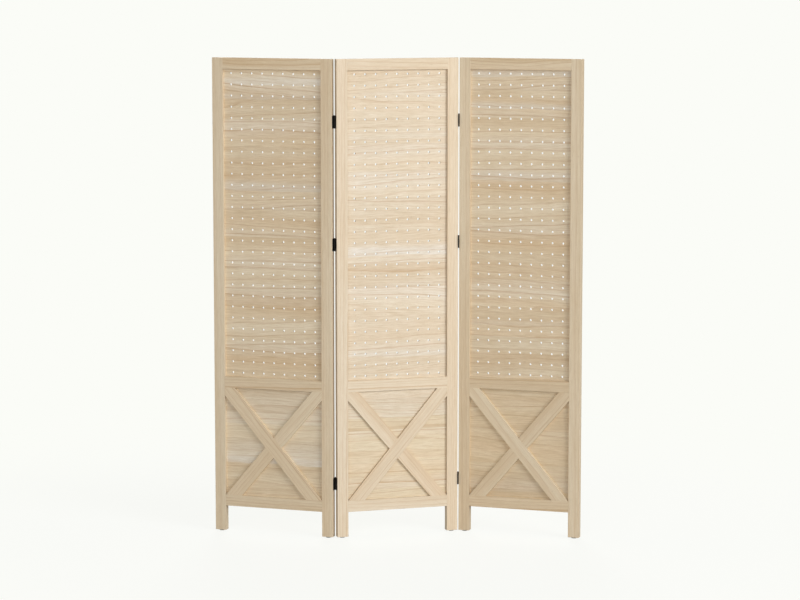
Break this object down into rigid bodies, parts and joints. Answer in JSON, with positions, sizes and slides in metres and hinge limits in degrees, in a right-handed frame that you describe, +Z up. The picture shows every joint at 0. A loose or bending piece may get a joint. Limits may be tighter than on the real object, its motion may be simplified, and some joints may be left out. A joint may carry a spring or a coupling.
{
  "type": "folding screen",
  "caption": "Folding wooden screen: panels in a zigzag, each with a pegboard above and crossed braces below, joined by butt hinges.",
  "frame": {"origin": "on the floor under the middle of the centre panel", "axes": "+X along the centre panel to its right, +Y to the screen's back, +Z up; the left panel stands folded to the back and the right panel to the front"},
  "size_m": [1.031, 0.4574, 1.445],
  "materials": {
    "frame_wood": "pale natural wood, grain along each member, satin",
    "brace_wood": "pale natural wood, grain along the brace, satin",
    "board_wood": "pale natural wood in level glued bands, satin",
    "hinge_metal": "glossy black",
    "pin_metal": "glossy black",
    "screw_metal": "black",
    "glide_plastic": "matt grey"
  },
  "bodies": {
    "left_panel": {"left_panel_left_stile": "frame_wood", "left_panel_right_stile": "frame_wood", "left_panel_top_rail": "frame_wood", "left_panel_middle_rail": "frame_wood", "left_panel_bottom_rail": "frame_wood", "left_panel_pegboard": "board_wood", "left_panel_lower_board": "board_wood", "left_panel_front_long_brace": "brace_wood", "left_panel_front_upper_short_brace": "brace_wood", "left_panel_front_lower_short_brace": "brace_wood", "left_panel_back_long_brace": "brace_wood", "left_panel_back_upper_short_brace": "brace_wood", "left_panel_back_lower_short_brace": "brace_wood", "left_panel_glides": "glide_plastic", "left_upper_hinge_wing_leaf": "hinge_metal", "left_middle_hinge_wing_leaf": "hinge_metal", "left_lower_hinge_wing_leaf": "hinge_metal", "left_panel_hinge_screws": "screw_metal"},
    "centre_panel": {"centre_panel_left_stile": "frame_wood", "centre_panel_right_stile": "frame_wood", "centre_panel_top_rail": "frame_wood", "centre_panel_middle_rail": "frame_wood", "centre_panel_bottom_rail": "frame_wood", "centre_panel_pegboard": "board_wood", "centre_panel_lower_board": "board_wood", "centre_panel_front_long_brace": "brace_wood", "centre_panel_front_upper_short_brace": "brace_wood", "centre_panel_front_lower_short_brace": "brace_wood", "centre_panel_back_long_brace": "brace_wood", "centre_panel_back_upper_short_brace": "brace_wood", "centre_panel_back_lower_short_brace": "brace_wood", "centre_panel_glides": "glide_plastic", "left_upper_hinge_centre_leaf": "hinge_metal", "left_middle_hinge_centre_leaf": "hinge_metal", "left_lower_hinge_centre_leaf": "hinge_metal", "left_hinge_pins": "pin_metal", "right_upper_hinge_centre_leaf": "hinge_metal", "right_middle_hinge_centre_leaf": "hinge_metal", "right_lower_hinge_centre_leaf": "hinge_metal", "right_hinge_pins": "pin_metal", "centre_panel_hinge_screws": "screw_metal"},
    "right_panel": {"right_panel_left_stile": "frame_wood", "right_panel_right_stile": "frame_wood", "right_panel_top_rail": "frame_wood", "right_panel_middle_rail": "frame_wood", "right_panel_bottom_rail": "frame_wood", "right_panel_pegboard": "board_wood", "right_panel_lower_board": "board_wood", "right_panel_front_long_brace": "brace_wood", "right_panel_front_upper_short_brace": "brace_wood", "right_panel_front_lower_short_brace": "brace_wood", "right_panel_back_long_brace": "brace_wood", "right_panel_back_upper_short_brace": "brace_wood", "right_panel_back_lower_short_brace": "brace_wood", "right_panel_glides": "glide_plastic", "right_upper_hinge_wing_leaf": "hinge_metal", "right_middle_hinge_wing_leaf": "hinge_metal", "right_lower_hinge_wing_leaf": "hinge_metal", "right_panel_hinge_screws": "screw_metal"}
  },
  "joints": [
    {"name": "left_fold", "type": "hinge", "parent": "centre_panel", "child": "left_panel", "pos_m": [-0.191, 0.012, 0], "axis": [0, 0, -1], "range_deg": [-35, 145]},
    {"name": "right_fold", "type": "hinge", "parent": "centre_panel", "child": "right_panel", "pos_m": [0.191, -0.012, 0], "axis": [0, 0, -1], "range_deg": [-35, 145]}
  ]
}
